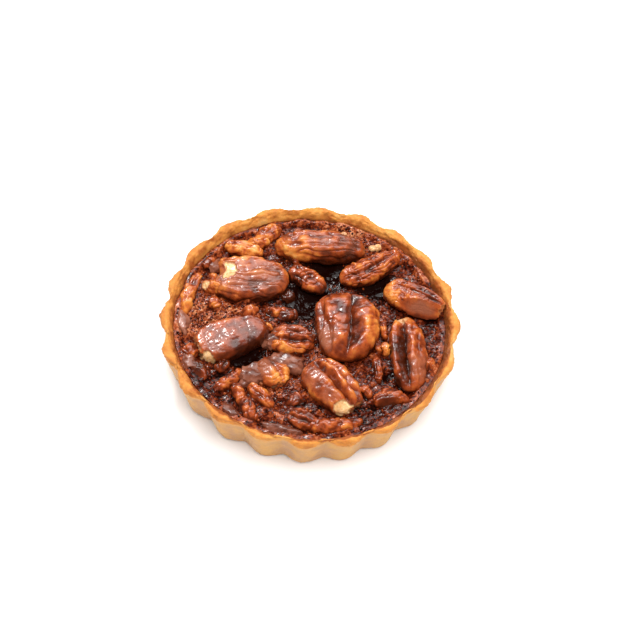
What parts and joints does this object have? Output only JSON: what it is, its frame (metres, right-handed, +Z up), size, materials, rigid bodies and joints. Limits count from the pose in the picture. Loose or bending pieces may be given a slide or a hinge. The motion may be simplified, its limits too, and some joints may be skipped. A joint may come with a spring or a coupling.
{
  "type": "pecan tartlet",
  "caption": "Round fluted shortcrust tartlet with a dark set syrup filling, covered with glazed pecan halves and broken pecan pieces.",
  "frame": {"origin": "centre of the flat underside of the crust", "axes": "+Z up out of the filling, +X to the right and +Y to the back as the tartlet is shown"},
  "size_m": [0.0982, 0.0977, 0.0203],
  "materials": {
    "crust": "matte baked shortcrust, golden brown, paler below the rim",
    "syrup": "glossy dark brown set syrup, finely bubbled",
    "pecan": "red-brown nut skin under a clear syrup glaze"
  },
  "bodies": {
    "root": {"crust": "crust", "filling": "syrup", "pecan_back": "pecan", "pecan_left": "pecan", "pecan_front_left": "pecan", "pecan_centre": "pecan", "pecan_front": "pecan", "pecan_front_end": "pecan", "pecan_front_rim": "pecan", "pecan_right_back": "pecan", "pecan_far_right": "pecan", "pecan_centre_back": "pecan", "pecan_right": "pecan", "pecan_centre_left": "pecan", "pecan_bit_left": "pecan", "pecan_bit_middle": "pecan", "pecan_knob_left": "pecan", "pecan_flake_left": "pecan", "pecan_strip_left": "pecan", "pecan_chunk_front": "pecan", "pecan_slip_front": "pecan", "pecan_strip_front": "pecan", "pecan_bit_front": "pecan", "pecan_strip_rim": "pecan", "pecan_bit_rim": "pecan", "pecan_back_left": "pecan", "pecan_slip_back": "pecan", "pecan_shard_right": "pecan", "pecan_arch_right": "pecan"}
  },
  "joints": []
}
